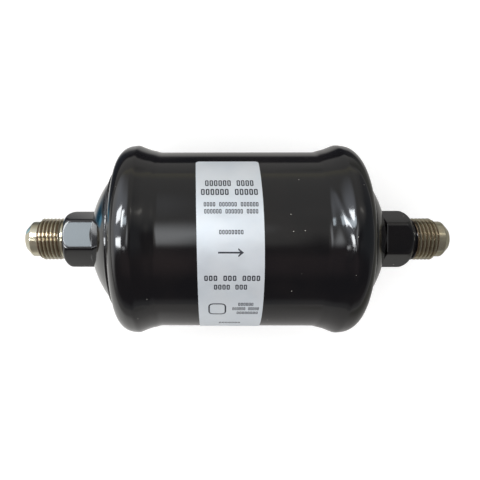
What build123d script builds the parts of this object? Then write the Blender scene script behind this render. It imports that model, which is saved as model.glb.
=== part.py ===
from build123d import *
from math import asin, atan2, cos, degrees, radians, sin, sqrt, tan
import os

# Solid-core filter drier for a refrigerant liquid line, in millimetres.
# The flow runs along X, from the inlet at -X to the outlet at +X. The origin is the
# centre of the body. Half sections are drawn with x along the axis and y as the radius.

# Shell: a steel tube whose ends are swollen over the end caps and spun inwards
barrel_od = 65.4
shell_wall = 1.6
bulge_height = 2.4           # crest of the swollen ends above the barrel
crest_spacing = 74.4         # between the crests of the two swollen ends
ramp_angle = 18.4            # slope from the barrel up to the bulge
ramp_foot_radius = 5.0
crest_radius = 12.0          # crest of the bulge, on the barrel's side
shoulder_radius = 6.6        # crest of the bulge, on the end's side
face_angle = 72.0            # spun end face, measured from the axis
seam_diameter = 49.6         # where the spun lip meets the dome

# End caps: pressed domes with a stepped rim that sits inside the bulge
dome_radius = 36.9
cap_wall = 2.2
rim_land = 2.8               # rim's reach past the crest, towards the barrel
seat_gap = 0.05              # between the shell and the cap trapped in it
seam_bead_radius = 0.9
seam_bead_sink = 0.315       # bead's middle below the crease, along the lip and off it
seam_bead_clearing = 2.7     # how far round the crease the bead is cut back to lip and dome

# Flare fittings: one turned piece of hexagon bar at each end
bore_diameter = 7.1
hex_af = 19.0
hex_length = 11.0
hex_round_length = 4.2       # turned rounding of the hexagon's outer corners
hex_foot_step = 0.25         # from the thread's crest to the foot of that rounding
thread_diameter = 15.8       # crests of 5/8-18 UNF
thread_length = 7.6
relief_diameter = 14.6
relief_width = 0.8
thread_chamfer = 1.2
nose_diameter = 13.4
nose_length = 2.1            # plain nose between the thread and the flare cone
flare_angle = 45.0
tip_diameter = 8.6
nose_round = 0.7
spigot_diameter = 15.0
spigot_reach = 0.9           # past the inner face of the dome
spigot_fit = 0.05
fitting_standoff = 0.35      # hexagon's inner face above the dome
braze_inset = 0.15           # from the hexagon's flats in to the braze
braze_toe = 0.9              # braze on the dome, past the flats
braze_radius = 1.6
inlet_hex_roll = 10.0        # each hexagon is left where it stopped turning
outlet_hex_roll = 0.0

# Label: a film wrapped round the barrel
label_width = 21.5
label_offset = -3.7          # label's middle from the body's middle, along X
label_top = 54.0             # degrees about X, from +Z towards +Y
label_bottom = -93.0
label_thickness = 0.15
label_corner = 2.6

# Filter stack, from the outlet inwards
plate_thickness = 1.5
plate_fit = 0.15             # support plate's edge to the shell
plate_hole = 5.2
plate_hole_pitch = 8.0
plate_hole_rings = 2
screen_diameter = 54.0
screen_thickness = 0.6
pad_diameter = 55.0
pad_thickness = 3.0
gasket_bore = 40.0
gasket_thickness = 1.5
core_diameter = 55.0
core_length = 60.0
core_chamfer = 2.5
core_bore = 16.0
core_bore_depth = 43.0
core_bore_draft = 1.5        # degrees

# Spring and its plate, at the inlet end
spring_plate_diameter = 48.0
spring_plate_thickness = 1.2
spring_plate_boss = 26.0
spring_plate_boss_height = 2.0
spring_plate_holes = 8
spring_plate_hole = 5.0
spring_wire = 2.2
spring_large_diameter = 36.0
spring_small_diameter = 21.0
spring_turns = 2.5
spring_end_turn = 300.0      # degrees of flat wire at each end
spring_gap = 0.1

# Places that follow from the sizes above
barrel_r = barrel_od / 2
bulge_r = barrel_r + bulge_height
seam_r = seam_diameter / 2
crest_x = crest_spacing / 2
ramp = radians(ramp_angle)
face = radians(face_angle)
face_dir = Vector(cos(face), -sin(face))
face_normal = Vector(sin(face), cos(face))
cap_outer = shell_wall + seat_gap
cap_inner = cap_outer + cap_wall
crest_drop = (crest_radius + ramp_foot_radius) * (1 - cos(ramp))
ramp_run = (bulge_r - barrel_r - crest_drop) / tan(ramp)
foot_x = crest_x - ramp_run - (crest_radius + ramp_foot_radius) * sin(ramp)
shoulder_center = Vector(crest_x, bulge_r - shoulder_radius)
shoulder_end = shoulder_center + face_normal * shoulder_radius
seam_x = shoulder_end.X + (shoulder_end.Y - seam_r) / tan(face)
seam = Vector(seam_x, seam_r)
dome_x = seam_x - sqrt(dome_radius**2 - seam_r**2)
rim_x = crest_x - rim_land
bore_r = bore_diameter / 2
spigot_r = spigot_diameter / 2
cap_hole_r = spigot_r + spigot_fit
thread_r = thread_diameter / 2
relief_r = relief_diameter / 2
nose_r = nose_diameter / 2
tip_r = tip_diameter / 2


def dome_surface(radius, depth=0.0):
    """Axial place of the dome at a radius, depth below its outer skin."""
    return dome_x + sqrt((dome_radius - depth)**2 - radius**2)


def ramp_surface(x, offset):
    """Radius of the ramp at x, on the curve offset inwards from the shell's skin."""
    top_x = crest_x - (crest_radius - offset) * sin(ramp)
    top_r = bulge_r - crest_radius + (crest_radius - offset) * cos(ramp)
    return top_r - (top_x - x) * tan(ramp)


seat_x = dome_surface(cap_hole_r) + fitting_standoff
shank_x = seat_x + hex_length
thread_x = shank_x + relief_width
nose_x = thread_x + thread_length + thread_chamfer
cone_x = nose_x + nose_length
tip_x = cone_x + (nose_r - tip_r) / tan(radians(flare_angle))
spigot_end_x = dome_surface(cap_hole_r, cap_wall) - spigot_reach
support_x = rim_x - plate_thickness
support_r = ramp_surface(support_x, shell_wall) - plate_fit
screen_x = support_x - screen_thickness
pad_x = screen_x - pad_thickness
gasket_x = pad_x - gasket_thickness
core_x = gasket_x - core_length


def line_to_dome(start, direction, depth):
    """Where a line from inside the dome meets the dome's surface at that depth."""
    rel = start - Vector(dome_x, 0)
    along = rel.dot(direction)
    short = rel.dot(rel) - (dome_radius - depth)**2
    return start + direction * (sqrt(along**2 - short) - along)


def crest_arc(offset, reach):
    """Arc on the barrel's side of the crest, ending reach radians short of it."""
    center = (crest_x, bulge_r - crest_radius)
    return CenterArc(center, crest_radius - offset, 90, degrees(reach))


def shoulder_arc(offset):
    """Arc from the crest to the spun face."""
    return CenterArc(shoulder_center, shoulder_radius - offset, 90, -face_angle)


def ramp_curve(offset):
    """Barrel, ramp foot and ramp of one end, on the curve offset inwards."""
    foot_center = (foot_x, barrel_r + ramp_foot_radius)
    foot = CenterArc(foot_center, ramp_foot_radius + offset, -90, ramp_angle)
    barrel = Line((0, barrel_r - offset), foot @ 0)
    crest = crest_arc(offset, ramp)
    return [barrel, foot, Line(foot @ 1, crest @ 1), crest]


def revolve_section(edges):
    """Solid of revolution about X from the edges of a closed half section."""
    return revolve(make_face(edges), Axis.X)


def build_shell():
    lip = seam - face_dir * seat_gap
    outer = ramp_curve(0) + [shoulder_arc(0)]
    inner = ramp_curve(shell_wall) + [shoulder_arc(shell_wall)]
    lip_inner = lip - face_normal * shell_wall
    ends = [
        Line(outer[-1] @ 1, lip),
        Line(lip, lip_inner),
        Line(lip_inner, inner[-1] @ 1),
        Line((0, barrel_r), (0, barrel_r - shell_wall)),
    ]
    half = revolve_section(outer + inner + ends)
    return half + mirror(half, Plane.YZ)


def build_cap():
    """Outlet end cap. From the hole out: dome, step under the lip, face, shoulder, rim."""
    outer_rim = crest_arc(cap_outer, asin(rim_land / (crest_radius - cap_outer)))
    inner_rim = crest_arc(cap_inner, asin(rim_land / (crest_radius - cap_inner)))
    outer_shoulder = shoulder_arc(cap_outer)
    inner_shoulder = shoulder_arc(cap_inner)
    step = seam - face_normal * cap_outer
    inner_step = seam + face_dir * cap_wall - face_normal * cap_inner
    inner_seam = line_to_dome(inner_step, face_normal, cap_wall)
    outer_hole = (dome_surface(cap_hole_r), cap_hole_r)
    inner_hole = (dome_surface(cap_hole_r, cap_wall), cap_hole_r)
    edges = [
        RadiusArc(outer_hole, seam, -dome_radius),
        Line(seam, step),
        Line(step, outer_shoulder @ 1),
        outer_shoulder,
        outer_rim,
        Line(outer_rim @ 1, inner_rim @ 1),
        inner_rim,
        inner_shoulder,
        Line(inner_shoulder @ 1, inner_step),
        Line(inner_step, inner_seam),
        RadiusArc(inner_seam, inner_hole, dome_radius - cap_wall),
        Line(inner_hole, outer_hole),
    ]
    return revolve_section(edges)


def build_seam_bead():
    """Weld bead laid in the crease: the part of a round bead outside lip and dome."""
    center = seam - (face_normal + face_dir) * seam_bead_sink
    bead = Pos(center.X, center.Y) * Circle(seam_bead_radius)
    dome = Pos(dome_x, 0) * Circle(dome_radius)
    lip_start = seam - face_dir * seam_bead_clearing
    lip_end = seam + face_dir * seam_bead_clearing
    back = face_normal * -seam_bead_clearing
    under_face = make_face(Polyline(lip_start, lip_end, lip_end + back, lip_start + back, close=True))
    return revolve((bead - dome - under_face).face(), Axis.X)


def build_fitting_section():
    """Half section of the outlet fitting without its hexagon and bore."""
    points = [
        (spigot_end_x, 0),
        (spigot_end_x, spigot_r),
        (seat_x, spigot_r),
        (seat_x, relief_r),
        (thread_x, relief_r),
        (thread_x + thread_r - relief_r, thread_r),
        (thread_x + thread_length, thread_r),
        (nose_x, nose_r),
        (cone_x, nose_r),
        (tip_x, tip_r),
        (tip_x, 0),
    ]
    section = make_face(Polyline(*points, close=True))
    rounded = section.vertices().filter_by(lambda v: v.X > cone_x - nose_round and v.Y > bore_r)
    return fillet(rounded, nose_round)


def build_hexagon(roll):
    """Hexagon of the outlet fitting, its outer corners rounded in the lathe."""
    corner_r = hex_af / sqrt(3)
    foot_r = thread_r + hex_foot_step
    round_x = shank_x - hex_round_length
    outer = [
        Line((seat_x, 0), (seat_x, corner_r)),
        Line((seat_x, corner_r), (round_x, corner_r)),
        TangentArc((round_x, corner_r), (shank_x, foot_r), tangent=(1, 0)),
        Line((shank_x, foot_r), (shank_x, 0)),
        Line((shank_x, 0), (seat_x, 0)),
    ]
    outline = RegularPolygon(hex_af / 2, 6, major_radius=False, rotation=roll)
    bar = Plane.YZ.offset(seat_x) * extrude(outline, hex_length)
    return bar & revolve_section(outer)


def build_fitting(roll):
    """Outlet flare fitting: spigot, hexagon, threaded shank, flare nose and bore."""
    turned = revolve(build_fitting_section(), Axis.X)
    bore = Plane.YZ.offset(spigot_end_x) * extrude(Circle(bore_r), tip_x - spigot_end_x)
    return turned + build_hexagon(roll) - bore


def build_braze_ring():
    """Fillet between the dome, the spigot and the hexagon's inner face."""
    hex_edge = (seat_x, hex_af / 2 - braze_inset)
    toe_r = hex_af / 2 + braze_toe
    toe = (dome_surface(toe_r), toe_r)
    root = (dome_surface(cap_hole_r), cap_hole_r)
    edges = [
        Line(root, (seat_x, cap_hole_r)),
        Line((seat_x, cap_hole_r), hex_edge),
        RadiusArc(hex_edge, toe, braze_radius),
        RadiusArc(toe, root, dome_radius),
    ]
    return revolve_section(edges)


def build_label():
    """Film on the barrel, its corners rounded."""
    middle = (label_offset, barrel_r + label_thickness / 2)
    section = Pos(*middle) * Rectangle(label_width, label_thickness)
    film = revolve(section, Axis.X, label_top - label_bottom)
    corners = film.edges().filter_by(lambda e: abs(e.length - label_thickness) < label_thickness / 10)
    return Rot(X=90 - label_top) * fillet(corners, label_corner)


def build_disc(x, diameter, thickness):
    """Disc across the axis, from x towards the outlet."""
    return Plane.YZ.offset(x) * extrude(Circle(diameter / 2), thickness)


def build_support_plate():
    """Plate trapped between the shell's ramp and the outlet cap's rim, pierced in rings."""
    plate = build_disc(support_x, 2 * support_r, plate_thickness)
    holes = [Pos()]
    for ring in range(1, plate_hole_rings + 1):
        holes += PolarLocations(ring * plate_hole_pitch, 6 * ring).locations
    for place in holes:
        plate -= Plane.YZ.offset(support_x) * place * extrude(Circle(plate_hole / 2), plate_thickness)
    return plate


def build_core():
    """Moulded block with a tapered blind bore, open at the outlet end."""
    block = build_disc(core_x, core_diameter, core_length)
    block = chamfer(block.edges(), core_chamfer)
    mouth = Plane.YZ.offset(core_x + core_length) * Circle(core_bore / 2)
    return block - extrude(mouth, -core_bore_depth, taper=core_bore_draft)


def build_gasket():
    ring = build_disc(gasket_x, core_diameter, gasket_thickness)
    return ring - build_disc(gasket_x, gasket_bore, gasket_thickness)


def build_spring_plate():
    """Pierced plate with a pressed boss that centres the spring."""
    back_x = core_x - spring_plate_thickness
    boss_x = back_x - spring_plate_boss_height
    boss_r = spring_plate_boss / 2
    flat_r = boss_r + spring_plate_boss_height
    points = [
        (core_x, spring_plate_diameter / 2),
        (back_x, spring_plate_diameter / 2),
        (back_x, flat_r),
        (boss_x, boss_r),
        (boss_x, 0),
        (boss_x + spring_plate_thickness, 0),
        (boss_x + spring_plate_thickness, boss_r - spring_plate_thickness / 2),
        (core_x, flat_r - spring_plate_thickness / 2),
    ]
    plate = revolve(make_face(Polyline(*points, close=True)), Axis.X)
    hole_ring = (flat_r + spring_plate_diameter / 2) / 2
    for place in PolarLocations(hole_ring, spring_plate_holes):
        hole = place * extrude(Circle(spring_plate_hole / 2), spring_plate_thickness)
        plate -= Plane.YZ.offset(back_x) * hole
    return plate


def build_spring():
    """Conical spring, wide end on the plate, with a flat turn at each end."""
    wire_r = spring_wire / 2
    large_r = spring_large_diameter / 2
    small_r = spring_small_diameter / 2
    plate_x = core_x - spring_plate_thickness - wire_r - spring_gap
    height = plate_x + dome_surface(small_r, cap_wall + wire_r + spring_gap)
    cone = degrees(atan2(small_r - large_r, height))
    coil = Helix(height / spring_turns, height, large_r, cone_angle=cone)
    turned = 360 * spring_turns
    wide = CenterArc((0, 0, 0), large_r, -spring_end_turn, spring_end_turn)
    narrow = CenterArc((0, 0, height), small_r, turned, spring_end_turn)
    spring = Pos(coil @ 0) * Sphere(wire_r) + Pos(coil @ 1) * Sphere(wire_r)
    for path in (wide, coil, narrow):
        section = Plane(path @ 0, z_dir=path % 0) * Circle(wire_r)
        spring += sweep(section, path, is_frenet=True)
    return Plane((plate_x, 0, 0), z_dir=(-1, 0, 0)) * spring


to_inlet = Rot(Z=180)
shapes = {
    "shell": build_shell(),
    "outlet_end_cap": build_cap(),
    "inlet_end_cap": to_inlet * build_cap(),
    "outlet_seam_weld": build_seam_bead(),
    "inlet_seam_weld": to_inlet * build_seam_bead(),
    "outlet_flare_fitting": build_fitting(outlet_hex_roll),
    "inlet_flare_fitting": to_inlet * build_fitting(inlet_hex_roll),
    "outlet_braze_ring": build_braze_ring(),
    "inlet_braze_ring": to_inlet * build_braze_ring(),
    "rating_label": build_label(),
    "outlet_support_plate": build_support_plate(),
    "outlet_screen": build_disc(screen_x, screen_diameter, screen_thickness),
    "outlet_filter_pad": build_disc(pad_x, pad_diameter, pad_thickness),
    "core_gasket": build_gasket(),
    "desiccant_core": build_core(),
    "spring_plate": build_spring_plate(),
    "core_spring": build_spring(),
}

os.makedirs("parts", exist_ok=True)
for name, shape in shapes.items():
    export_step(shape, f"parts/{name}.step")
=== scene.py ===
import math
from functools import partial

import bmesh
import bpy
from mathutils import Matrix, Vector, noise


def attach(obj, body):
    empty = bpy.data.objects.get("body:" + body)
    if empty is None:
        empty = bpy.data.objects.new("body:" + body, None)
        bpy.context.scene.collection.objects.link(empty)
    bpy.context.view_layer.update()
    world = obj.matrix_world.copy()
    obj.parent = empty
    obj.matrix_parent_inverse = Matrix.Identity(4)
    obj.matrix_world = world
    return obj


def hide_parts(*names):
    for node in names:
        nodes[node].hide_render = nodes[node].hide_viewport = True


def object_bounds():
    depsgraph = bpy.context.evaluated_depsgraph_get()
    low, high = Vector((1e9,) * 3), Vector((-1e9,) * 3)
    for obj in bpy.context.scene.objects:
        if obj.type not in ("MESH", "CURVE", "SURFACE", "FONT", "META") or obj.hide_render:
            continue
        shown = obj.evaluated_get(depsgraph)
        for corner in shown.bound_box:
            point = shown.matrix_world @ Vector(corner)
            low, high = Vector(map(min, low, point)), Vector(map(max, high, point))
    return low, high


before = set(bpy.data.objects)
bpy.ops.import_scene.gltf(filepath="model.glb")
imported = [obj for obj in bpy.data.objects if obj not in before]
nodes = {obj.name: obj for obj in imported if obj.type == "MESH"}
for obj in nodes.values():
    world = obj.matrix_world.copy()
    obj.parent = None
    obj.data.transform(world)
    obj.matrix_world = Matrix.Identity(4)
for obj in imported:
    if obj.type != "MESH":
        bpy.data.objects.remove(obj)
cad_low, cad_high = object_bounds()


# --- Camera ------------------------------------------------------------------
# Looks straight down on the drier as it lies on the table. It stands close, a little
# left of the drier's middle, so each fitting shows some of its hexagon's outer round.
MM = 0.001
camera_height = 185.0 * MM
camera_left = 11.5 * MM
camera_toward_front = 0.4 * MM
camera_turn = 0.009


def placed(name, data):
    """A new object in the scene, at the origin."""
    thing = bpy.data.objects.new(name, data)
    bpy.context.scene.collection.objects.link(thing)
    return thing


camera_data = bpy.data.cameras.new("camera")
camera_data.sensor_width = 36.0
camera_data.lens = 36.13
camera_data.shift_x = 0.08
camera_data.clip_start = 0.01
camera_data.clip_end = 20.0
camera = placed("camera", camera_data)
camera.location = (-camera_left, -camera_toward_front, camera_height)
camera.rotation_euler = (0.0, camera_turn, 0.0)
bpy.context.scene.camera = camera
bpy.context.scene.view_settings.view_transform = "Standard"


# --- Table and studio ----------------------------------------------------------
# A white table top in a light room. One large soft lamp hangs over it. The gloss also
# shows window panes, and painted reflections of the room on a glowing sphere that only the
# gloss sees: pale behind and over the drier, dark in front, where the maker stands, and
# dark to the right. A glowing sheet just over the table, which only the gloss sees too,
# carries the table's painted reflection, with a painted shadow behind the drier and a
# painted pool of window light to its left.
table_gap = 0.05 * MM
table_reach = 3.0
table_white = (0.86, 0.86, 0.86, 1.0)
table_roughness = 0.7
table_lift = 0.40
gloss_gap = 0.3 * MM
white = (1.0, 1.0, 1.0, 1.0)
room_light = 0.62
key_azimuth = 200.0
key_polar = 20.0
key_distance = 1.6
key_level = 1.35
key_size = 1.4
key_colour = (1.0, 0.99, 0.97)
wall_distance = 2.5
wall_segments = 48

# name, place over the table 1 m up, width, depth, level, colour
pane_height = 1.0
window_panes = [
    ("window_left_back", -1.10, 0.64, 0.90, 0.44, 20.0, (0.95, 0.98, 1.0)),
    ("window_left", -1.05, -0.07, 0.95, 0.22, 22.0, (0.95, 0.98, 1.0)),
    ("window_over_fitting", -0.345, 0.377, 0.22, 0.16, 8.5, (0.80, 0.92, 1.0)),
    ("window_strip", -0.515, 0.46, 0.11, 0.42, 28.0, (0.92, 0.97, 1.0)),
    ("window_front", -0.42, -0.19, 0.10, 0.06, 5.0, (0.95, 0.98, 1.0)),
]
# Painted reflections on the walls, the lit and dark parts of the room: azimuth and polar
# angle of a patch, half width round the patch and half height in degrees, softness of its
# edge, colour
reflected_wall_base = (0.30, 0.30, 0.31, 1.0)
painted_wall_reflections = [
    (92.0, 50.0, 34.0, 62.0, 0.30, (0.60, 0.59, 0.57)),
    (92.0, 100.0, 32.0, 16.0, 0.30, (0.74, 0.71, 0.58)),
    (152.0, 58.0, 34.0, 30.0, 0.45, (2.00, 2.10, 2.30)),
    (154.0, 7.0, 12.0, 6.5, 0.80, (3.10, 3.20, 3.30)),
    (172.0, 84.0, 34.0, 14.0, 0.60, (1.80, 1.80, 1.80)),
    (270.0, 46.0, 62.0, 37.0, 0.12, (0.10, 0.09, 0.10)),
    (262.0, 30.0, 24.0, 14.0, 0.80, (0.24, 0.19, 0.20)),
    (12.0, 62.0, 26.0, 38.0, 0.50, (0.20, 0.22, 0.24)),
    (46.0, 43.0, 9.0, 9.0, 0.90, (0.75, 0.73, 0.70)),
    (46.0, 43.5, 3.5, 2.0, 0.50, (2.30, 2.25, 2.10)),
    (-15.0, 21.0, 15.0, 8.0, 0.40, (0.09, 0.09, 0.10)),
]
# Painted reflection of the table: a painted shadow behind the drier, painted shade to the
# right, a painted pool of window light to the left, a dark patch behind and beyond the inlet
# end and a teal patch for something blue lying there. Each patch: place, half width, half
# depth, softness, colour
reflected_table_base = (0.50, 0.49, 0.48, 1.0)
painted_table_reflections = [
    (0.0, 0.112, 0.60, 0.034, 0.25, (0.05, 0.05, 0.06)),
    (0.28, 0.0, 0.17, 0.60, 0.40, (0.26, 0.26, 0.23)),
    (-0.25, -0.06, 0.19, 0.14, 0.40, (1.15, 1.15, 1.12)),
    (-0.13, 0.078, 0.07, 0.046, 0.20, (0.06, 0.07, 0.09)),
    (-0.115, 0.024, 0.024, 0.010, 0.50, (0.02, 0.17, 0.30)),
    (-0.140, 0.024, 0.012, 0.007, 0.60, (0.40, 1.20, 1.80)),
]


def toward(azimuth, polar, distance):
    """Point at a compass angle from +X and an angle from straight up."""
    a = math.radians(azimuth)
    p = math.radians(polar)
    return distance * Vector((math.sin(p) * math.cos(a), math.sin(p) * math.sin(a), math.cos(p)))


def area_lamp(name, place, width, height, radiance, colour):
    """Rectangular lamp that faces the drier."""
    lamp_data = bpy.data.lights.new(name, "AREA")
    lamp_data.shape = "RECTANGLE"
    lamp_data.size = width
    lamp_data.size_y = height
    lamp_data.energy = radiance * math.pi * width * height
    lamp_data.color = colour
    lamp = placed(name, lamp_data)
    lamp.location = place
    lamp.rotation_euler = place.to_track_quat("Z", "Y").to_euler()
    return lamp


def flat_sheet(name, height):
    """A level square sheet under the drier."""
    mesh = bpy.data.meshes.new(name)
    corners = [(-1, -1), (1, -1), (1, 1), (-1, 1)]
    verts = [(x * table_reach, y * table_reach, height) for x, y in corners]
    mesh.from_pydata(verts, [], [(0, 1, 2, 3)])
    return placed(name, mesh)


def only_in_gloss(board):
    """Leaves a backdrop to be seen in reflections alone."""
    board.visible_camera = False
    board.visible_diffuse = False
    board.visible_shadow = False
    board.visible_transmission = False


def new_finish(name):
    """A new material, its node tree and its shader."""
    finish = bpy.data.materials.new(name)
    finish.use_nodes = True
    return finish, finish.node_tree, finish.node_tree.nodes["Principled BSDF"]


def link(tree, source, target):
    """Joins two sockets of a tree."""
    tree.links.new(source, target)


def math_node(tree, kind, *values):
    """A Math node on sockets or numbers; returns its output."""
    node = tree.nodes.new("ShaderNodeMath")
    node.operation = kind
    for slot, value in zip(node.inputs, values):
        if isinstance(value, (int, float)):
            slot.default_value = value
        else:
            link(tree, value, slot)
    return node.outputs[0]


def stepped(tree, value, low, high, out_low, out_high, shape="LINEAR"):
    """Maps value from low..high to out_low..out_high and holds it outside."""
    change = tree.nodes.new("ShaderNodeMapRange")
    change.interpolation_type = shape
    change.inputs["From Min"].default_value = low
    change.inputs["From Max"].default_value = high
    change.inputs["To Min"].default_value = out_low
    change.inputs["To Max"].default_value = out_high
    link(tree, value, change.inputs["Value"])
    return change.outputs["Result"]


def blended(tree, factor, first, second):
    """Mixes two colours, each a socket or a fixed value."""
    mix = tree.nodes.new("ShaderNodeMix")
    mix.data_type = "RGBA"
    link(tree, factor, mix.inputs[0])
    for colour, socket in ((first, mix.inputs[6]), (second, mix.inputs[7])):
        if isinstance(colour, tuple):
            socket.default_value = colour
        else:
            link(tree, colour, socket)
    return mix.outputs[2]


def object_place(tree):
    """Object coordinates."""
    return tree.nodes.new("ShaderNodeTexCoord").outputs["Object"]


def object_axes(tree):
    """Object coordinates as three numbers."""
    axes = tree.nodes.new("ShaderNodeSeparateXYZ")
    link(tree, object_place(tree), axes.inputs[0])
    return axes.outputs


def looked_at(tree):
    """1 for what the camera, a gloss or a glass looks at, 0 for the light it gives."""
    rays = tree.nodes.new("ShaderNodeLightPath").outputs
    seen = math_node(tree, "MAXIMUM", rays["Is Camera Ray"], rays["Is Glossy Ray"])
    return math_node(tree, "MAXIMUM", seen, rays["Is Transmission Ray"])


def unlit_tree(board):
    """The emptied node tree of a new material on a board that only the gloss sees."""
    material, tree, _ = new_finish(board.name)
    tree.nodes.clear()
    board.data.materials.append(material)
    return tree


def along(tree, ray, direction):
    """How far a ray points along a direction."""
    dot = tree.nodes.new("ShaderNodeVectorMath")
    dot.operation = "DOT_PRODUCT"
    link(tree, ray, dot.inputs[0])
    dot.inputs[1].default_value = direction
    return dot.outputs["Value"]


def painted_over(tree, painted, far, soft, colour):
    """Paints a soft-edged patch over a colour; far is 1 at the patch's edge."""
    cover = stepped(tree, far, 1.0 - soft, 1.0 + soft, 1.0, 0.0, "SMOOTHSTEP")
    return blended(tree, cover, painted, (*colour, 1.0))


def rounded_distance(tree, side, rise):
    """Distance from the middle of a rounded rectangle, 1 at its edge."""
    side = math_node(tree, "POWER", math_node(tree, "ABSOLUTE", side), 4.0)
    rise = math_node(tree, "POWER", math_node(tree, "ABSOLUTE", rise), 4.0)
    return math_node(tree, "POWER", math_node(tree, "ADD", side, rise), 0.25)


def show_painted(tree, painted):
    """Lets a board that only the gloss sees glow with the reflections painted on it."""
    emission = tree.nodes.new("ShaderNodeEmission")
    link(tree, painted, emission.inputs["Color"])
    output = tree.nodes.new("ShaderNodeOutputMaterial")
    link(tree, emission.outputs[0], output.inputs["Surface"])


table_z = cad_low.z - table_gap
table = flat_sheet("table", table_z)
table_material, tree, shader = new_finish("white_table_top")
shader.inputs["Base Color"].default_value = table_white
shader.inputs["Roughness"].default_value = table_roughness
shader.inputs["Emission Color"].default_value = white
lift = math_node(tree, "MULTIPLY", looked_at(tree), table_lift)
link(tree, lift, shader.inputs["Emission Strength"])
table.data.materials.append(table_material)

world = bpy.data.worlds.new("light_room")
bpy.context.scene.world = world
world.use_nodes = True
tree = world.node_tree
background = tree.nodes["Background"]
background.inputs["Color"].default_value = white
room = math_node(tree, "MULTIPLY", looked_at(tree), 1.0 - room_light)
link(tree, math_node(tree, "ADD", room, room_light), background.inputs["Strength"])

key_place = toward(key_azimuth, key_polar, key_distance)
key = area_lamp("soft_lamp", key_place, key_size, key_size, key_level, key_colour)
key.visible_glossy = False
for name, x, y, width, depth, level, colour in window_panes:
    pane = area_lamp(name, Vector((x, y, pane_height)), width, depth, level, colour)
    pane.rotation_euler = (0.0, 0.0, 0.0)
    pane.visible_diffuse = False

# A glowing sphere round the table that only the gloss sees; its colours are painted reflections
# of the room.
walls = bmesh.new()
bmesh.ops.create_uvsphere(
    walls, u_segments=wall_segments, v_segments=wall_segments // 2, radius=wall_distance
)
wall_mesh = bpy.data.meshes.new("painted_reflection_walls")
walls.to_mesh(wall_mesh)
walls.free()
painted_reflection_walls = placed("painted_reflection_walls", wall_mesh)
only_in_gloss(painted_reflection_walls)
tree = unlit_tree(painted_reflection_walls)
unit = tree.nodes.new("ShaderNodeVectorMath")
unit.operation = "NORMALIZE"
link(tree, object_place(tree), unit.inputs[0])
ray = unit.outputs[0]
painted = reflected_wall_base
for azimuth, polar, half_wide, half_high, soft, colour in painted_wall_reflections:
    compass = math.radians(azimuth)
    middle = toward(azimuth, polar, 1.0)
    across = Vector((-math.sin(compass), math.cos(compass), 0.0))
    ahead = along(tree, ray, middle)
    side = math_node(tree, "ARCTAN2", along(tree, ray, across), ahead)
    side = math_node(tree, "DIVIDE", side, math.radians(half_wide))
    rise = math_node(tree, "ARCTAN2", along(tree, ray, middle.cross(across)), ahead)
    rise = math_node(tree, "DIVIDE", rise, math.radians(half_high))
    painted = painted_over(tree, painted, rounded_distance(tree, side, rise), soft, colour)
show_painted(tree, painted)

# A glowing sheet just over the table that only the gloss sees; its colours are the table's
# painted reflection, with a painted shadow and a painted pool of light.
table_reflection_sheet = flat_sheet("painted_table_reflection", table_z + gloss_gap)
only_in_gloss(table_reflection_sheet)
tree = unlit_tree(table_reflection_sheet)
axes = object_axes(tree)
painted = reflected_table_base
for x, y, half_wide, half_deep, soft, colour in painted_table_reflections:
    side = math_node(tree, "DIVIDE", math_node(tree, "SUBTRACT", axes[0], x), half_wide)
    rise = math_node(tree, "DIVIDE", math_node(tree, "SUBTRACT", axes[1], y), half_deep)
    painted = painted_over(tree, painted, rounded_distance(tree, side, rise), soft, colour)
show_painted(tree, painted)


# --- Shell ---------------------------------------------------------------------
# The body is one piece of drawn steel tube, both ends swollen over their caps and spun
# in to hold them. It is dipped or powder coated in thick gloss black enamel, which
# flows to a faint orange peel and catches a little dust before it is hard.
barrel_radius = 32.7
shell_wall = 1.6
swell = 2.4
crest_x = 37.2
ramp_slope = 18.4
foot_round = 5.0
crest_round = 12.0
shoulder_round = 6.6
face_slope = 72.0
lip_x = 45.33
lip_radius = 24.85
shell_facets = 240
shell_crease = 50.0

# marks of the swaging tool, as (place along X, reach, height), and ripples round the shell
marks_start = 28.0
marks_end = 44.5
marks_fade = (2.5, 2.0)
tool_bands = [(32.4, 2.6, -0.26), (35.8, 1.3, 0.20)]
ring_x = 32.0
ring_pitch = 3.45
ring_heights = {"outlet": 0.005, "inlet": 0.014}
rings_end = 37.0
rings_fade = 1.5
ripple_height = 0.05
ripple_length = 7.0
ripples_round = 5.2
# a run in the enamel at the outlet's swell: (x, degrees round X from the top to the back)
enamel_run = [
    (30.4, 27.0),
    (31.3, 19.5),
    (32.9, 10.0),
    (34.9, 2.0),
    (35.8, -4.5),
    (35.2, -9.5),
    (33.2, -14.0),
]
run_start = 29.0
run_spread = 0.7
run_height = 0.09
run_width = 0.85

enamel_black = (0.0045, 0.0045, 0.0055, 1.0)
enamel_brown = (0.010, 0.0085, 0.0085, 1.0)
enamel_ior = 1.52
enamel_roughness = (0.08, 0.135)
wave_height = 0.12
peel_height = 0.010

# a cell of the dust's grid holds a speck where its own random number is over the rarity
dust_colour = (0.55, 0.53, 0.48, 1.0)
dust_cells = 300.0
dust_rarity = (0.60, 0.61)
dust_size = (0.03, 0.06)
dust_roughness = 0.6
dust_height = 0.05


def object_noise(tree, scale, detail, stretch=(1.0, 1.0, 1.0)):
    """Noise on Object coordinates; scale is in features a metre."""
    mapping = tree.nodes.new("ShaderNodeMapping")
    mapping.inputs["Scale"].default_value = stretch
    link(tree, object_place(tree), mapping.inputs["Vector"])
    texture = tree.nodes.new("ShaderNodeTexNoise")
    texture.inputs["Scale"].default_value = scale
    texture.inputs["Detail"].default_value = detail
    link(tree, mapping.outputs[0], texture.inputs["Vector"])
    return texture.outputs["Fac"]


def varied(tree, value, low, high, first, second):
    """Colour that goes from first to second as value goes from low to high."""
    return blended(tree, stepped(tree, value, low, high, 0.0, 1.0), first, second)


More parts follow.
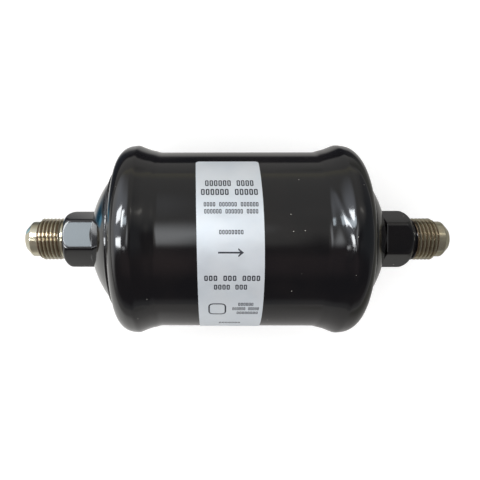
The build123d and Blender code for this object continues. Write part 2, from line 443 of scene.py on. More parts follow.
def raised(tree, height, strength, distance, before=None):
    """Bump from a height; before is the normal it goes on top of."""
    bump = tree.nodes.new("ShaderNodeBump")
    bump.inputs["Strength"].default_value = strength
    bump.inputs["Distance"].default_value = distance
    link(tree, height, bump.inputs["Height"])
    if before is not None:
        link(tree, before, bump.inputs["Normal"])
    return bump.outputs["Normal"]


def enamelled(tree, surface):
    """Gives a shader the black enamel, with its orange peel and its dust."""
    surface.inputs["IOR"].default_value = enamel_ior
    clouds = object_noise(tree, scale=38.0, detail=3.0)
    colour = varied(tree, clouds, 0.42, 0.68, enamel_black, enamel_brown)
    specks = tree.nodes.new("ShaderNodeTexVoronoi")
    specks.inputs["Scale"].default_value = dust_cells
    link(tree, object_place(tree), specks.inputs["Vector"])
    draw = tree.nodes.new("ShaderNodeSeparateColor")
    link(tree, specks.outputs["Color"], draw.inputs[0])
    rare = stepped(tree, draw.outputs[0], *dust_rarity, 0.0, 1.0)
    small = stepped(tree, specks.outputs["Distance"], *dust_size, 1.0, 0.0)
    dust = math_node(tree, "MULTIPLY", rare, small)
    link(tree, blended(tree, dust, colour, dust_colour), surface.inputs["Base Color"])
    smears = object_noise(tree, scale=70.0, detail=4.0, stretch=(1.0, 2.5, 2.5))
    smooth = stepped(tree, smears, 0.35, 0.75, *enamel_roughness)
    dusty = stepped(tree, dust, 0.0, 1.0, 0.0, dust_roughness)
    link(tree, math_node(tree, "MAXIMUM", smooth, dusty), surface.inputs["Roughness"])
    waves = object_noise(tree, scale=55.0, detail=1.0)
    peel = object_noise(tree, scale=520.0, detail=2.0)
    normal = raised(tree, waves, 0.35, wave_height * MM)
    normal = raised(tree, peel, 0.25, peel_height * MM, normal)
    normal = raised(tree, dust, 0.5, dust_height * MM, normal)
    link(tree, normal, surface.inputs["Normal"])


def arc_points(center, radius, first, last, steps):
    """Points of an arc in (x, r), angles in degrees from +X."""
    out = []
    for i in range(steps + 1):
        a = math.radians(first + (last - first) * i / steps)
        out.append((center[0] + radius * math.cos(a), center[1] + radius * math.sin(a)))
    return out


def line_points(first, last, steps):
    """Points between two points in (x, r), without the two."""
    return [tuple(a + (b - a) * i / steps for a, b in zip(first, last)) for i in range(1, steps)]


def half_shell(inset, fine):
    """The shell's skin from its middle to its lip at +X, inset into the wall."""
    skin = barrel_radius - inset
    top = barrel_radius + swell
    foot_middle = (crest_x - ramp_reach, barrel_radius + foot_round)
    foot = arc_points(foot_middle, foot_round + inset, -90, ramp_slope - 90, 3 * fine)
    crest_middle = (crest_x, top - crest_round)
    crest = arc_points(crest_middle, crest_round - inset, 90 + ramp_slope, 90, 6 * fine)
    shoulder_middle = (crest_x, top - shoulder_round)
    shoulder = arc_points(shoulder_middle, shoulder_round - inset, 90, 90 - face_slope, 12 * fine)
    face = math.radians(face_slope)
    lip = (lip_x - inset * math.sin(face), lip_radius - inset * math.cos(face))
    line = [(0.0, skin)] + line_points((0.0, skin), foot[0], 5 * fine) + foot
    line += line_points(foot[-1], crest[0], 8 * fine) + crest + shoulder[1:]
    return line + line_points(shoulder[-1], lip, 5 * fine) + [lip]


def run_distance(x, around):
    """Distance from a point of the skin to the run in the enamel."""
    best = 1.0e3
    here = Vector((x, around))
    for first, last in zip(enamel_run, enamel_run[1:]):
        start = Vector((first[0], math.radians(first[1]) * (barrel_radius + swell)))
        reach = Vector((last[0], math.radians(last[1]) * (barrel_radius + swell))) - start
        share = max(0.0, min(1.0, (here - start).dot(reach) / reach.length_squared))
        best = min(best, (here - start - reach * share).length)
    return best


def tool_marks(x, a):
    """How far the skin stands out at x and at an angle round the shell."""
    from_middle = abs(x)
    if from_middle < marks_start or from_middle > marks_end:
        return 0.0
    place = (x / ripple_length, ripples_round * math.cos(a), ripples_round * math.sin(a))
    to_start = from_middle - marks_start
    fade = min(1.0, to_start / marks_fade[0], (marks_end - from_middle) / marks_fade[1])
    out = ripple_height * noise.noise(Vector(place)) * fade
    for band_x, reach, height in tool_bands:
        out += height * math.exp(-(((from_middle - band_x) / reach) ** 2))
    fade = min(1.0, to_start / rings_fade, (rings_end - from_middle) / rings_fade)
    ring_height = ring_heights["outlet" if x > 0 else "inlet"] * max(0.0, fade)
    out += ring_height * math.sin(2 * math.pi * (from_middle - ring_x) / ring_pitch)
    around = (math.pi / 2 - a + math.pi) % (2 * math.pi) - math.pi
    if x > run_start and abs(around) < run_spread:
        away = run_distance(x, around * (barrel_radius + swell)) / run_width
        out += run_height * math.exp(-(away**2))
    return out


def lathe_mesh(name, profile, angles, radius_at):
    """Closed ring mesh: a closed profile turned round X."""
    verts = []
    for point in profile:
        for a in angles:
            radius = radius_at(point, a)
            verts.append((point[0] * MM, radius * math.cos(a) * MM, radius * math.sin(a) * MM))
    count = len(angles)
    faces = []
    for i in range(len(profile)):
        k = (i + 1) % len(profile)
        for j in range(count):
            n = (j + 1) % count
            faces.append((i * count + j, k * count + j, k * count + n, i * count + n))
    mesh = bpy.data.meshes.new(name)
    mesh.from_pydata(verts, [], faces)
    return mesh


def tidy_mesh(mesh, crease):
    """Welds doubles, turns faces outwards and marks edges sharper than crease."""
    work = bmesh.new()
    work.from_mesh(mesh)
    bmesh.ops.remove_doubles(work, verts=work.verts, dist=0.002 * MM)
    bmesh.ops.dissolve_degenerate(work, edges=work.edges, dist=0.001 * MM)
    bmesh.ops.recalc_face_normals(work, faces=work.faces)
    for face in work.faces:
        face.smooth = True
    work.to_mesh(mesh)
    work.free()
    mesh.set_sharp_from_angle(angle=math.radians(crease))


def skin_radius(point, a):
    """Radius of the shell at a profile point; only its outside has tool marks."""
    x, radius, outside = point
    return radius + (tool_marks(x, a) if outside else 0.0)


enamel, tree, shader = new_finish("black_enamel_finish")
enamelled(tree, shader)

slope = math.radians(ramp_slope)
ramp_rise = swell - (foot_round + crest_round) * (1 - math.cos(slope))
ramp_reach = ramp_rise / math.tan(slope)
ramp_reach += (foot_round + crest_round) * math.sin(slope)
outer = half_shell(0.0, 2)
inner = half_shell(shell_wall, 1)
shell_profile = [(-x, r, 1) for x, r in reversed(outer)] + [(x, r, 1) for x, r in outer[1:]]
shell_profile += [(x, r, 0) for x, r in reversed(inner)] + [(-x, r, 0) for x, r in inner[1:]]
shell_angles = [2 * math.pi * i / shell_facets for i in range(shell_facets)]
shell_mesh = lathe_mesh("swaged_shell", shell_profile, shell_angles, skin_radius)
tidy_mesh(shell_mesh, shell_crease)
shell_mesh.materials.append(enamel)
shell = placed("swaged_shell", shell_mesh)
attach(shell, "root")
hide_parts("shell")


# --- End caps, seam welds and braze rings ---------------------------------------
# Each pressed cap is trapped in the shell's end, welded round the crease and brazed to
# its fitting. All of it goes under the same enamel in one coat.
for end in ("inlet", "outlet"):
    for name in ("_end_cap", "_seam_weld", "_braze_ring"):
        nodes[end + name].data.materials[0] = enamel


# --- Flare fittings ---------------------------------------------------------------
# Turned from hexagon steel bar, zinc plated and passivated to an olive gold, then masked
# over the thread and the flare nose while the enamel goes on. The thread is 18 to the
# inch, right-handed at both ends.
seats = {"outlet": 54.3, "inlet": 53.0}
fitting_rolls = {"outlet": 30.0, "inlet": 40.0}
fitting_end = 50.99
bore_radius = 3.55
spigot_radius = 7.5
seat_ring = 1.0

hex_apothem = 9.5
hex_corner = hex_apothem / math.cos(math.radians(30.0))
hex_edge = 0.32
hex_edge_row = 0.06
hex_soft = 0.5
hex_round_length = 3.5
hex_foot_radius = 8.15
shank_x = 64.75
hex_round_start = shank_x - hex_round_length - 0.6
hex_round_steps = 34
# degrees from the middle of a flat, close together near the corner
flat_angles = [2.5 * i for i in range(11)] + [26.2, 27.2, 28.0, 28.6, 29.1, 29.55]

neck_round = 0.25
neck_rise = 0.1
relief_radius = 7.3
thread_pitch = 25.4 / 18.0
thread_start = 65.75
thread_full = 73.45
crest_radius = 7.9
root_radius = 7.02
under_radius = 6.5
core_step = 0.2
core_taper = 0.1
nose_start = 74.65
nose_radius = 6.7
nose_back = 0.3
nose_lead = 0.05
nose_round = 0.7
cone_start = 77.19
tip_x = 79.59
tip_radius = 4.3
lip_round = 0.25
bore_rows = (6.0, 4.0)
body_crease = 40.0

# what the thread's tree is given, each size by its name there
thread_sizes = {
    "Pitch": thread_pitch,
    "Crest Radius": crest_radius,
    "Root Radius": root_radius,
    "Under Radius": under_radius,
    "Start": thread_start,
    "End": nose_start,
    "Start Radius": relief_radius,
    "End Chamfer": nose_start - thread_full,
}
rows_a_pitch = 16
thread_facets = 144
flank = (0.20, 0.875)
thread_weld = 0.003
thread_crease = 25.0

zinc_olive = (0.42, 0.40, 0.305, 1.0)
zinc_gold = (0.46, 0.40, 0.28, 1.0)
# painted shade in the thread's roots: darker and browner, more so at the inlet
root_shade_colour = {"outlet": (0.20, 0.15, 0.095, 1.0), "inlet": (0.15, 0.10, 0.06, 1.0)}
root_shade = (7.05 * MM, 7.75 * MM)
groove_inset = 0.1
turned_height = 0.012
plating_shine = {"outlet": 0.78, "inlet": 0.58}
plating_roughness = (0.12, 0.18)
paint_edge = {"outlet": 66.45, "inlet": 64.9}
paint_wander = 0.5
paint_soft = 0.05


def softer(first, second, soft):
    """The smaller of two lengths, blended where they are close."""
    share = max(0.0, min(1.0, 0.5 + 0.5 * (second - first) / soft))
    return second * (1.0 - share) + first * share - soft * share * (1.0 - share)


def hexagon_radius(angle, roll):
    """Radius of the hexagon at an angle, its six corners a little round."""
    turn = math.radians(60.0)
    local = (angle - math.radians(roll) + turn / 2) % turn - turn / 2
    near = hex_apothem / math.cos(local)
    far = hex_apothem / math.cos(turn - abs(local))
    return softer(near, far, hex_soft)


def round_radius(x):
    """Radius of the hexagon's turned outer round at x."""
    start = shank_x - hex_round_length
    if x <= start:
        return hex_corner
    drop = hex_corner - hex_foot_radius
    radius = (hex_round_length**2 + drop**2) / (2 * drop)
    return hex_corner - radius + math.sqrt(radius**2 - (x - start) ** 2)


def turned(points):
    """Marks profile points as turned round, not hexagonal."""
    return [(x, r, 0) for x, r in points]


def fitting_profile(seat_x):
    """Profile of the outlet fitting as (x, radius, is it the hexagon)."""
    line = turned([(fitting_end, bore_radius), (fitting_end, spigot_radius)])
    line += turned([(seat_x, spigot_radius), (seat_x, spigot_radius + seat_ring)])
    for i in range(7):
        a = math.radians(90.0 * i / 6)
        line.append((seat_x + hex_edge * (1 - math.cos(a)), -hex_edge * (1 - math.sin(a)), 1))
    flat_x = seat_x + hex_edge
    line.append((flat_x + hex_edge_row, 0.0, 1))
    for i in range(1, 9):
        line.append((flat_x + (hex_round_start - seat_x - hex_edge) * i / 8, 0.0, 1))
    for i in range(1, hex_round_steps + 1):
        share = (shank_x - hex_round_start) * i / hex_round_steps
        line.append((hex_round_start + share, 0.0, 1))
    line += turned([(shank_x, relief_radius + neck_round + neck_rise)])
    neck = (shank_x + neck_round, relief_radius + neck_round)
    line += turned(arc_points(neck, neck_round, 180, 270, 4))
    # a plain core stands inside the thread's tube
    line += turned([(thread_start, relief_radius)])
    line += turned([(thread_start + core_step, under_radius + core_step)])
    line += turned([(nose_start - nose_back - nose_lead, under_radius + core_taper)])
    line += turned([(nose_start - nose_back, nose_radius)])
    bend = math.tan(math.radians(22.5)) * nose_round
    cone = (cone_start - bend, nose_radius - nose_round)
    line += turned(arc_points(cone, nose_round, 90, 45, 7))
    tip = (tip_x - nose_round, tip_radius - bend)
    line += turned(arc_points(tip, nose_round, 45, 0, 7))
    line += turned([(tip_x, bore_radius + lip_round)])
    lip = (tip_x - lip_round, bore_radius + lip_round)
    line += turned(arc_points(lip, lip_round, 0, -90, 4))
    line += turned([(tip_x - bore_rows[0], bore_radius), (seat_x + bore_rows[1], bore_radius)])
    return line


def sector_angles():
    """Angles round the fitting, close together at the hexagon's corners."""
    sector = [-a for a in reversed(flat_angles[1:])] + flat_angles
    out = []
    for k in range(6):
        out += [math.radians(60.0 * k + a) for a in sector]
        out.append(math.radians(60.0 * k + 30.0))
    return out


def fitting_mesh(name, roll, seat_x):
    """Closed mesh of the outlet fitting without its thread."""
    angles = [a + math.radians(roll) for a in sector_angles()]

    def radius_at(point, a):
        x, radius, hexagonal = point
        if not hexagonal:
            return radius
        return softer(hexagon_radius(a, roll), round_radius(x), hex_soft) + radius

    return lathe_mesh(name, fitting_profile(seat_x), angles, radius_at)


def thread_tree(material):
    """Geometry Nodes tree of a thread: a grid rolled round +X on a helix."""
    tree = bpy.data.node_groups.new("flare_thread", "GeometryNodeTree")
    new_socket = tree.interface.new_socket
    sockets = {}
    for label in thread_sizes:
        sockets[label] = new_socket(name=label, in_out="INPUT", socket_type="NodeSocketFloat")
    new_socket(name="Geometry", in_out="OUTPUT", socket_type="NodeSocketGeometry")
    size = tree.nodes.new("NodeGroupInput").outputs
    calc = partial(math_node, tree)

    pitches = math.ceil((nose_start - thread_start) / thread_pitch) + 2
    rows = pitches * rows_a_pitch + 3
    grid = tree.nodes.new("GeometryNodeMeshGrid")
    grid.inputs["Size X"].default_value = 1.0
    grid.inputs["Size Y"].default_value = 1.0
    grid.inputs["Vertices X"].default_value = thread_facets + 1
    grid.inputs["Vertices Y"].default_value = rows
    place = tree.nodes.new("GeometryNodeInputPosition")
    axes = tree.nodes.new("ShaderNodeSeparateXYZ")
    link(tree, place.outputs[0], axes.inputs[0])
    turn = calc("ADD", axes.outputs[0], 0.5)
    row = calc("ROUND", calc("MULTIPLY", calc("ADD", axes.outputs[1], 0.5), rows - 1))

    # each row starts a step further along and gains one pitch a turn
    ahead = calc("DIVIDE", calc("SUBTRACT", row, 1 + rows_a_pitch), rows_a_pitch)
    raw = calc("ADD", calc("MULTIPLY", ahead, size["Pitch"]), size["Start"])
    raw = calc("ADD", raw, calc("MULTIPLY", turn, size["Pitch"]))
    x = calc("MINIMUM", calc("MAXIMUM", raw, size["Start"]), size["End"])
    phase = calc("DIVIDE", calc("SUBTRACT", x, size["Start"]), size["Pitch"])
    phase = calc("FRACT", calc("SUBTRACT", phase, turn))
    wave = calc("ABSOLUTE", calc("SUBTRACT", calc("MULTIPLY", phase, 2.0), 1.0))
    ridge = stepped(tree, wave, *flank, 0.0, 1.0)
    depth = calc("SUBTRACT", size["Crest Radius"], size["Root Radius"])
    radius = calc("ADD", size["Root Radius"], calc("MULTIPLY", ridge, depth))
    lead_in = calc("ADD", size["Start Radius"], calc("SUBTRACT", x, size["Start"]))
    to_end = calc("SUBTRACT", x, calc("SUBTRACT", size["End"], size["End Chamfer"]))
    lead_out = calc("SUBTRACT", size["Crest Radius"], to_end)
    radius = calc("MINIMUM", calc("MINIMUM", radius, lead_in), lead_out)

    # the first row and the last two close the tube on its inside
    first = calc("LESS_THAN", row, 0.5)
    last = calc("GREATER_THAN", row, rows - 1.5)
    before_last = calc("GREATER_THAN", row, rows - 2.5)
    before_last = calc("MULTIPLY", before_last, calc("SUBTRACT", 1.0, last))
    inside = calc("ADD", calc("ADD", first, last), before_last)

    def chosen(flag, yes, no):
        rest = calc("SUBTRACT", 1.0, flag)
        return calc("ADD", calc("MULTIPLY", flag, yes), calc("MULTIPLY", rest, no))

    radius = chosen(inside, size["Under Radius"], radius)
    x = chosen(calc("ADD", first, last), size["Start"], x)
    x = chosen(before_last, size["End"], x)
    angle = calc("MULTIPLY", turn, 2 * math.pi)
    point = tree.nodes.new("ShaderNodeCombineXYZ")
    link(tree, x, point.inputs[0])
    link(tree, calc("MULTIPLY", radius, calc("COSINE", angle)), point.inputs[1])
    link(tree, calc("MULTIPLY", radius, calc("SINE", angle)), point.inputs[2])
    rolled = tree.nodes.new("GeometryNodeSetPosition")
    link(tree, grid.outputs["Mesh"], rolled.inputs["Geometry"])
    link(tree, point.outputs[0], rolled.inputs["Position"])
    welded = tree.nodes.new("GeometryNodeMergeByDistance")
    welded.inputs["Distance"].default_value = thread_weld * MM
    link(tree, rolled.outputs[0], welded.inputs["Geometry"])
    real = tree.nodes.new("GeometryNodeRealizeInstances")
    link(tree, welded.outputs[0], real.inputs[0])
    coated = tree.nodes.new("GeometryNodeSetMaterial")
    coated.inputs["Material"].default_value = material
    link(tree, real.outputs[0], coated.inputs["Geometry"])
    output = tree.nodes.new("NodeGroupOutput")
    link(tree, coated.outputs[0], output.inputs[0])
    return tree, sockets


def fitting_finish(end):
    """Plated steel with enamel over it from the hexagon to the masked edge."""
    finish, tree, metal = new_finish(end + "_fitting_finish")
    calc = partial(math_node, tree)
    metal.inputs["Metallic"].default_value = plating_shine[end]
    metal.inputs["Anisotropic"].default_value = 0.5
    metal.inputs["Anisotropic Rotation"].default_value = 0.25
    turning = tree.nodes.new("ShaderNodeTangent")
    turning.direction_type = "RADIAL"
    turning.axis = "X"
    link(tree, turning.outputs[0], metal.inputs["Tangent"])
    axes = object_axes(tree)
    from_middle = calc("ABSOLUTE", axes[0])
    radius = calc("ADD", calc("POWER", axes[1], 2.0), calc("POWER", axes[2], 2.0))
    radius = calc("SQRT", radius)

    patches = object_noise(tree, scale=260.0, detail=3.0)
    tone = varied(tree, patches, 0.35, 0.7, zinc_olive, zinc_gold)
    # The thread's roots are painted darker and browner, a painted shade in the grooves.
    deep = stepped(tree, radius, *root_shade, 1.0, 0.0)
    past_start = calc("GREATER_THAN", from_middle, (thread_start + groove_inset) * MM)
    before_nose = calc("LESS_THAN", from_middle, (nose_start - groove_inset) * MM)
    shaded_grooves = calc("MULTIPLY", deep, calc("MULTIPLY", past_start, before_nose))
    link(tree, blended(tree, shaded_grooves, tone, root_shade_colour[end]), metal.inputs["Base Color"])
    stain = object_noise(tree, scale=900.0, detail=3.0)
    link(tree, stepped(tree, stain, 0.3, 0.75, *plating_roughness), metal.inputs["Roughness"])
    rings = object_noise(tree, scale=60.0, detail=2.0, stretch=(90.0, 0.6, 0.6))
    link(tree, raised(tree, rings, 0.2, turned_height * MM), metal.inputs["Normal"])

    paint = tree.nodes.new("ShaderNodeBsdfPrincipled")
    enamelled(tree, paint)
    ragged = calc("SUBTRACT", object_noise(tree, scale=700.0, detail=3.0), 0.5)
    reach = calc("ADD", from_middle, calc("MULTIPLY", ragged, paint_wander * MM))
    edge = paint_edge[end] * MM
    painted = stepped(tree, reach, edge - paint_soft * MM, edge + paint_soft * MM, 1.0, 0.0)
    layers = tree.nodes.new("ShaderNodeMixShader")
    link(tree, painted, layers.inputs[0])
    link(tree, metal.outputs[0], layers.inputs[1])
    link(tree, paint.outputs[0], layers.inputs[2])
    link(tree, layers.outputs[0], tree.nodes["Material Output"].inputs["Surface"])
    return finish


for end, turn in (("outlet", 0.0), ("inlet", math.pi)):
    finish = fitting_finish(end)
    to_its_end = Matrix.Rotation(turn, 4, "Z")
    body_mesh = fitting_mesh(end + "_flare_body", fitting_rolls[end], seats[end])
    body_mesh.transform(to_its_end)
    tidy_mesh(body_mesh, body_crease)
    body_mesh.materials.append(finish)
    body = placed(end + "_flare_body", body_mesh)

    tree, sockets = thread_tree(finish)
    blank = placed("thread_blank", bpy.data.meshes.new("thread_blank"))
    roller = blank.modifiers.new("flare_thread", "NODES")
    roller.node_group = tree
    for label, size in thread_sizes.items():
        roller[sockets[label].identifier] = size * MM
    ready = blank.evaluated_get(bpy.context.evaluated_depsgraph_get())
    thread_mesh = bpy.data.meshes.new_from_object(ready)
    bpy.data.objects.remove(blank)
    thread_mesh.name = end + "_flare_thread"
    thread_mesh.transform(to_its_end)
    tidy_mesh(thread_mesh, thread_crease)
    thread = placed(end + "_flare_thread", thread_mesh)
    for piece in (body, thread):
        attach(piece, "root")
        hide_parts(end + "_flare_fitting")


# --- Rating label -------------------------------------------------------------------
# A silver-white polyester film with rounded corners, wrapped a little askew over the top
# and down the front of the barrel. The print is rows of plain hollow boxes where words
# would stand, and the arrow that tells the fitter which way the liquid flows.
film_thickness = 0.15
film_radius = barrel_radius + film_thickness
film_left = -14.45
film_right = 7.05
film_top = math.radians(54.0) * film_radius
film_bottom = math.radians(-93.0) * film_radius
film_corner = 1.3
film_skew = -0.019
film_crease = 40.0
corner_rows = 14
body_rows = 84
columns = 24

film_white = (0.76, 0.80, 0.84, 1.0)
film_cool = (0.71, 0.765, 0.82, 1.0)
film_ior = 1.5
film_metallic = 0.28
film_roughness = (0.33, 0.45)
film_ripple = 0.05
film_grain = 0.01

# rows of print: left, right, lower arc, upper arc, length of each word
print_rows = [
    (-11.4, 4.7, 18.1, 20.5, (6, 4)),
    (-12.8, 5.9, 14.6, 16.9, (6, 5)),
    (-12.0, 5.7, 10.5, 12.0, (4, 6, 6)),
    (-11.9, 5.5, 8.1, 9.6, (6, 6, 4)),
    (-7.3, 0.6, 1.4, 2.8, (8,)),
    (-12.3, 6.0, -14.0, -12.1, (3, 3, 4)),
    (-9.2, 1.8, -17.3, -15.4, (4, 3)),
    (-1.2, 4.0, -24.6, -23.1, (6,)),
    (-3.1, 5.9, -27.0, -25.4, (6, 5)),
    (-1.6, 5.7, -29.4, -27.9, (8,)),
    (-7.6, 0.1, -37.6, -36.2, (7,)),
]
word_space = 1.1
letter_share = 0.78
stroke_share = 0.27
letter_round = 0.3
# a plain frame where an approval mark would be: left, right, lower arc, upper arc
mark_box = (-11.2, -5.2, -29.6, -23.4)
mark_round = 1.6
mark_line = 0.5
arrow_left = -7.75
arrow_tip = 0.45
arrow_arc = -4.42
arrow_half = 0.27
shaft_short = 0.75
head_reach = 1.75
head_half = 1.42
head_thick = 0.70
barb_back = 0.1
barb_thick = 0.4
notch = 0.35

ink_rise = 0.012
ink_sink = 0.02
ink_step = 0.55
ink_crease = 30.0
ink_blue_black = (0.02, 0.022, 0.034, 1.0)
ink_thin = (0.10, 0.11, 0.14, 1.0)
ink_roughness = (0.35, 0.5)
ink_grain = 0.005


def on_barrel(x, arc, rise):
    """Point of the label at x and arc length upwards, rise above the film, askew as stuck."""
    angle = arc / film_radius
    radius = film_radius + rise
    return (
        (x + film_skew * arc) * MM,
        radius * math.sin(angle) * MM,
        radius * math.cos(angle) * MM,
    )


def film_edge(arc):
    """How far the rounded corners pull the film's sides in at an arc length."""
    short = max(0.0, film_corner - (film_top - arc), film_corner - (arc - film_bottom))
    return film_corner - math.sqrt(max(0.0, film_corner**2 - short**2))


quarter = [math.radians(90.0 * i / corner_rows) for i in range(corner_rows + 1)]
straight = film_top - film_bottom - 2 * film_corner
arcs = [film_bottom + film_corner * (1 - math.cos(a)) for a in quarter]
arcs += [film_bottom + film_corner + straight * i / body_rows for i in range(1, body_rows)]
arcs += [film_top - film_corner + film_corner * math.sin(a) for a in quarter]
verts = []
uvs = []
for rise in (0.0, -film_thickness):
    for arc in arcs:
        pull = film_edge(arc)
        for c in range(columns + 1):
            x = film_left + pull + (film_right - film_left - 2 * pull) * c / columns
            verts.append(on_barrel(x, arc, rise))
            uvs.append((x * MM, arc * MM))
faces = []
across = columns + 1
last_row = len(arcs) - 1
sheet = len(arcs) * across
for r in range(last_row):
    for c in range(columns):
        a = r * across + c
        ring = (a, a + 1, a + across + 1, a + across)
        faces.append(ring)
        faces.append(tuple(sheet + v for v in reversed(ring)))
border = list(range(columns))
border += [r * across + columns for r in range(last_row)]
border += [last_row * across + c for c in range(columns, 0, -1)]
border += [r * across for r in range(last_row, 0, -1)]
for i, a in enumerate(border):
    b = border[(i + 1) % len(border)]
    faces.append((b, a, sheet + a, sheet + b))
film_mesh = bpy.data.meshes.new("label_film")
film_mesh.from_pydata(verts, [], faces)
layer = film_mesh.uv_layers.new(name="film")
for loop in film_mesh.loops:
    layer.data[loop.index].uv = uvs[loop.vertex_index]
tidy_mesh(film_mesh, film_crease)

film, tree, shader = new_finish("silver_white_film")
shader.inputs["IOR"].default_value = film_ior
shader.inputs["Metallic"].default_value = film_metallic
mottle = object_noise(tree, scale=120.0, detail=4.0)
link(tree, varied(tree, mottle, 0.35, 0.7, film_white, film_cool), shader.inputs["Base Color"])
handled = object_noise(tree, scale=210.0, detail=3.0)
link(tree, stepped(tree, handled, 0.3, 0.7, *film_roughness), shader.inputs["Roughness"])
ripple = object_noise(tree, scale=90.0, detail=2.0)
fine = object_noise(tree, scale=2600.0, detail=2.0)
normal = raised(tree, ripple, 0.3, film_ripple * MM)
link(tree, raised(tree, fine, 0.15, film_grain * MM, normal), shader.inputs["Normal"])
film_mesh.materials.append(film)
film_piece = placed("label_film", film_mesh)

ink_verts = []
ink_faces = []


def ink_shape(outline, hole=None):
    """Thin raised ink from an outline of (x, arc) points, with a hole of as many points."""
    loops = [outline, hole] if hole else [outline]
    parts = []
    for i in range(len(outline)):
        rises = [abs(loop[i][1] - loop[i - 1][1]) for loop in loops]
        parts.append(max(1, math.ceil(max(rises) / ink_step)))
    fine = []
    for loop in loops:
        points = []
        for i, count in enumerate(parts):
            points += line_points(loop[i - 1], loop[i], count) + [loop[i]]
        fine.append(points)
    start = len(ink_verts)
    count = len(fine[0])
    rings = [(fine[0], ink_rise), (fine[0], -ink_sink)]
    if hole:
        rings += [(fine[1], -ink_sink), (fine[1], ink_rise)]
    for points, rise in rings:
        for x, arc in points:
            ink_verts.append(on_barrel(x, arc, rise))
    for i in range(count):
        n = (i + 1) % count
        for k in range(len(rings) if hole else 1):
            low = start + k * count
            high = start + ((k + 1) % len(rings)) * count
            ink_faces.append((low + i, high + i, high + n, low + n))
    if not hole:
        ink_faces.append(tuple(start + i for i in range(count)))
        ink_faces.append(tuple(start + count + i for i in reversed(range(count))))


def rounded_box(left, right, low, high, corner):
    """Outline of a box with round corners, turning left."""
    outline = []
    corners = ((right, high, 0), (left, high, 90), (left, low, 180), (right, low, 270))
    for x, arc, first in corners:
        inward = math.copysign(corner, x - (left + right) / 2)
        down = math.copysign(corner, arc - (low + high) / 2)
        outline += arc_points((x - inward, arc - down), corner, first, first + 90, 3)
    return outline


def ink_frame(left, right, low, high, corner, line):
    """Frame of a line's width inside a rounded box."""
    inner_round = max(corner - line, 0.05)
    inside = rounded_box(left + line, right - line, low + line, high - line, inner_round)
    ink_shape(rounded_box(left, right, low, high, corner), inside)


for left, right, low_arc, high_arc, words in print_rows:
    advance = (right - left) / (sum(words) + word_space * (len(words) - 1))
    wide = advance * letter_share
    x = left
    for word in words:
        for _ in range(word):
            stroke = advance * stroke_share
            ink_frame(x, x + wide, low_arc, high_arc, wide * letter_round, stroke)
            x += advance
        x += word_space * advance

shaft_end = arrow_tip - shaft_short
ink_shape(
    [
        (arrow_left, arrow_arc - arrow_half),
        (shaft_end, arrow_arc - arrow_half),
        (shaft_end, arrow_arc + arrow_half),
        (arrow_left, arrow_arc + arrow_half),
    ]
)
for side in (1, -1):
    barb = [
        (arrow_tip, arrow_arc),
        (arrow_tip - head_reach, arrow_arc + side * head_half),
        (arrow_tip - head_reach - barb_back, arrow_arc + side * (head_half - barb_thick)),
        (arrow_tip - head_thick - notch, arrow_arc),
    ]
    ink_shape(barb if side > 0 else barb[::-1])
ink_frame(*mark_box, mark_round, mark_line)

ink_mesh = bpy.data.meshes.new("label_print")
ink_mesh.from_pydata(ink_verts, [], ink_faces)
tidy_mesh(ink_mesh, ink_crease)
ink, tree, shader = new_finish("printing_ink")
worn = object_noise(tree, scale=1500.0, detail=3.0)
link(tree, varied(tree, worn, 0.5, 0.8, ink_blue_black, ink_thin), shader.inputs["Base Color"])
link(tree, stepped(tree, worn, 0.3, 0.7, *ink_roughness), shader.inputs["Roughness"])
grain = object_noise(tree, scale=4000.0, detail=2.0)
link(tree, raised(tree, grain, 0.2, ink_grain * MM), shader.inputs["Normal"])
ink_mesh.materials.append(ink)
ink_piece = placed("label_print", ink_mesh)
for piece in (film_piece, ink_piece):
    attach(piece, "root")
    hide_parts("rating_label")


# --- Steel parts inside ---------------------------------------------------------------
# The perforated plate at the outlet and the plate under the spring are blanked from
# cold-rolled strip. The spring is wound from drawn carbon steel wire. Nothing is coated.
strip_grey = (0.50, 0.50, 0.49, 1.0)
strip_dull = (0.40, 0.39, 0.37, 1.0)
strip_roughness = (0.28, 0.45)
rolled_height = 0.01
wire_blue = (0.30, 0.31, 0.34, 1.0)
wire_straw = (0.42, 0.38, 0.31, 1.0)
wire_roughness = (0.30, 0.42)
drawn_height = 0.01


def finish_of(name, solids, roughness, metallic):
    """A new material on the named solids; roughness is a pair, varied by a noise."""
    finish, tree, surface = new_finish(name)
    surface.inputs["Metallic"].default_value = metallic
    worn = object_noise(tree, scale=180.0, detail=4.0)
    link(tree, stepped(tree, worn, 0.3, 0.7, *roughness), surface.inputs["Roughness"])
    for solid in solids:
        nodes[solid].data.materials[0] = finish
    return tree, surface


plates = ("outlet_support_plate", "spring_plate")
tree, surface = finish_of("rolled_strip", plates, strip_roughness, 1.0)
stains = object_noise(tree, scale=90.0, detail=4.0)
link(tree, varied(tree, stains, 0.4, 0.7, strip_grey, strip_dull), surface.inputs["Base Color"])
rolling = object_noise(tree, scale=300.0, detail=3.0, stretch=(1.0, 12.0, 0.5))
link(tree, raised(tree, rolling, 0.3, rolled_height * MM), surface.inputs["Normal"])

tree, surface = finish_of("spring_wire", ("core_spring",), wire_roughness, 1.0)
temper = object_noise(tree, scale=150.0, detail=3.0)
link(tree, varied(tree, temper, 0.35, 0.7, wire_blue, wire_straw), surface.inputs["Base Color"])
drawing = object_noise(tree, scale=1800.0, detail=2.0, stretch=(3.0, 1.0, 1.0))
link(tree, raised(tree, drawing, 0.25, drawn_height * MM), surface.inputs["Normal"])


# --- Outlet screen ------------------------------------------------------------------
# A disc of plain woven stainless wire, punched from the roll, which holds the felt's
# fibres back from the plate's holes.
weave_pitch = 0.8
weave_height = 0.12
weave_roughness = (0.25, 0.38)
crossing = 0.35
wire_bright = (0.56, 0.55, 0.53, 1.0)
wire_shade = (0.10, 0.10, 0.10, 1.0)

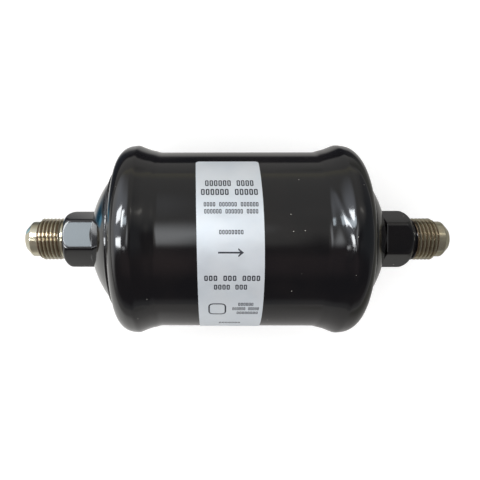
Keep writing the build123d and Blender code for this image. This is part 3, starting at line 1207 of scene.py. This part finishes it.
tree, surface = finish_of("woven_wire", ("outlet_screen",), weave_roughness, 1.0)
calc = partial(math_node, tree)
axes = object_axes(tree)
bends = math.pi / (weave_pitch * MM)
waves = [calc("SINE", calc("MULTIPLY", axis, bends)) for axis in (axes[1], axes[2])]
over = calc("ADD", calc("MULTIPLY", calc("MULTIPLY", *waves), crossing), 1.0 - crossing)
under = calc("SUBTRACT", 2.0 * (1.0 - crossing), over)
warp = calc("MULTIPLY", calc("ABSOLUTE", waves[0]), over)
weft = calc("MULTIPLY", calc("ABSOLUTE", waves[1]), under)
weave = calc("MAXIMUM", warp, weft)
tint = stepped(tree, object_noise(tree, scale=220.0, detail=3.0), 0.3, 0.7, 0.0, 0.3)
bright = blended(tree, tint, wire_bright, wire_shade)
link(tree, varied(tree, weave, 0.25, 0.5, wire_shade, bright), surface.inputs["Base Color"])
link(tree, raised(tree, weave, 1.0, weave_height * MM), surface.inputs["Normal"])


# --- Felt pad and gasket ----------------------------------------------------------------
# The filter pad at the outlet and the ring that seals the core's inlet edge are cut from
# pressed felt of glass and polyester fibre.
felt_pale = (0.74, 0.72, 0.66, 1.0)
felt_shadow = (0.50, 0.47, 0.41, 1.0)
felt_sheen = 0.25
felt_roughness = (0.85, 0.98)
tuft_height = 0.15
fibre_height = 0.06

felts = ("outlet_filter_pad", "core_gasket")
tree, surface = finish_of("pressed_felt", felts, felt_roughness, 0.0)
surface.inputs["Sheen Weight"].default_value = felt_sheen
tufts = object_noise(tree, scale=350.0, detail=5.0)
link(tree, varied(tree, tufts, 0.35, 0.65, felt_shadow, felt_pale), surface.inputs["Base Color"])
fibres = object_noise(tree, scale=1400.0, detail=4.0, stretch=(1.0, 0.25, 1.0))
normal = raised(tree, tufts, 0.8, tuft_height * MM)
link(tree, raised(tree, fibres, 0.8, fibre_height * MM, normal), surface.inputs["Normal"])


# --- Desiccant core -----------------------------------------------------------------
# Beads of molecular sieve and activated alumina, mixed with a phosphate binder, moulded
# and baked into one porous block.
bead_size = 1.3
bead_height = 0.35
powder_height = 0.03
block_roughness = (0.82, 0.96)
bead_cream = (0.72, 0.66, 0.54, 1.0)
bead_white = (0.80, 0.78, 0.72, 1.0)
bead_gap = (0.34, 0.29, 0.22, 1.0)

tree, surface = finish_of("moulded_desiccant", ("desiccant_core",), block_roughness, 0.0)
beads = tree.nodes.new("ShaderNodeTexVoronoi")
beads.inputs["Scale"].default_value = 1.0 / (bead_size * MM)
link(tree, object_place(tree), beads.inputs["Vector"])
shade = tree.nodes.new("ShaderNodeSeparateColor")
link(tree, beads.outputs["Color"], shade.inputs[0])
colour = blended(tree, shade.outputs[0], bead_cream, bead_white)
colour = varied(tree, beads.outputs["Distance"], 0.45, 0.70, colour, bead_gap)
link(tree, colour, surface.inputs["Base Color"])
dome = stepped(tree, beads.outputs["Distance"], 0.0, 0.75, 1.0, 0.0)
powder = object_noise(tree, scale=3000.0, detail=3.0)
normal = raised(tree, dome, 0.9, bead_height * MM)
link(tree, raised(tree, powder, 0.4, powder_height * MM, normal), surface.inputs["Normal"])
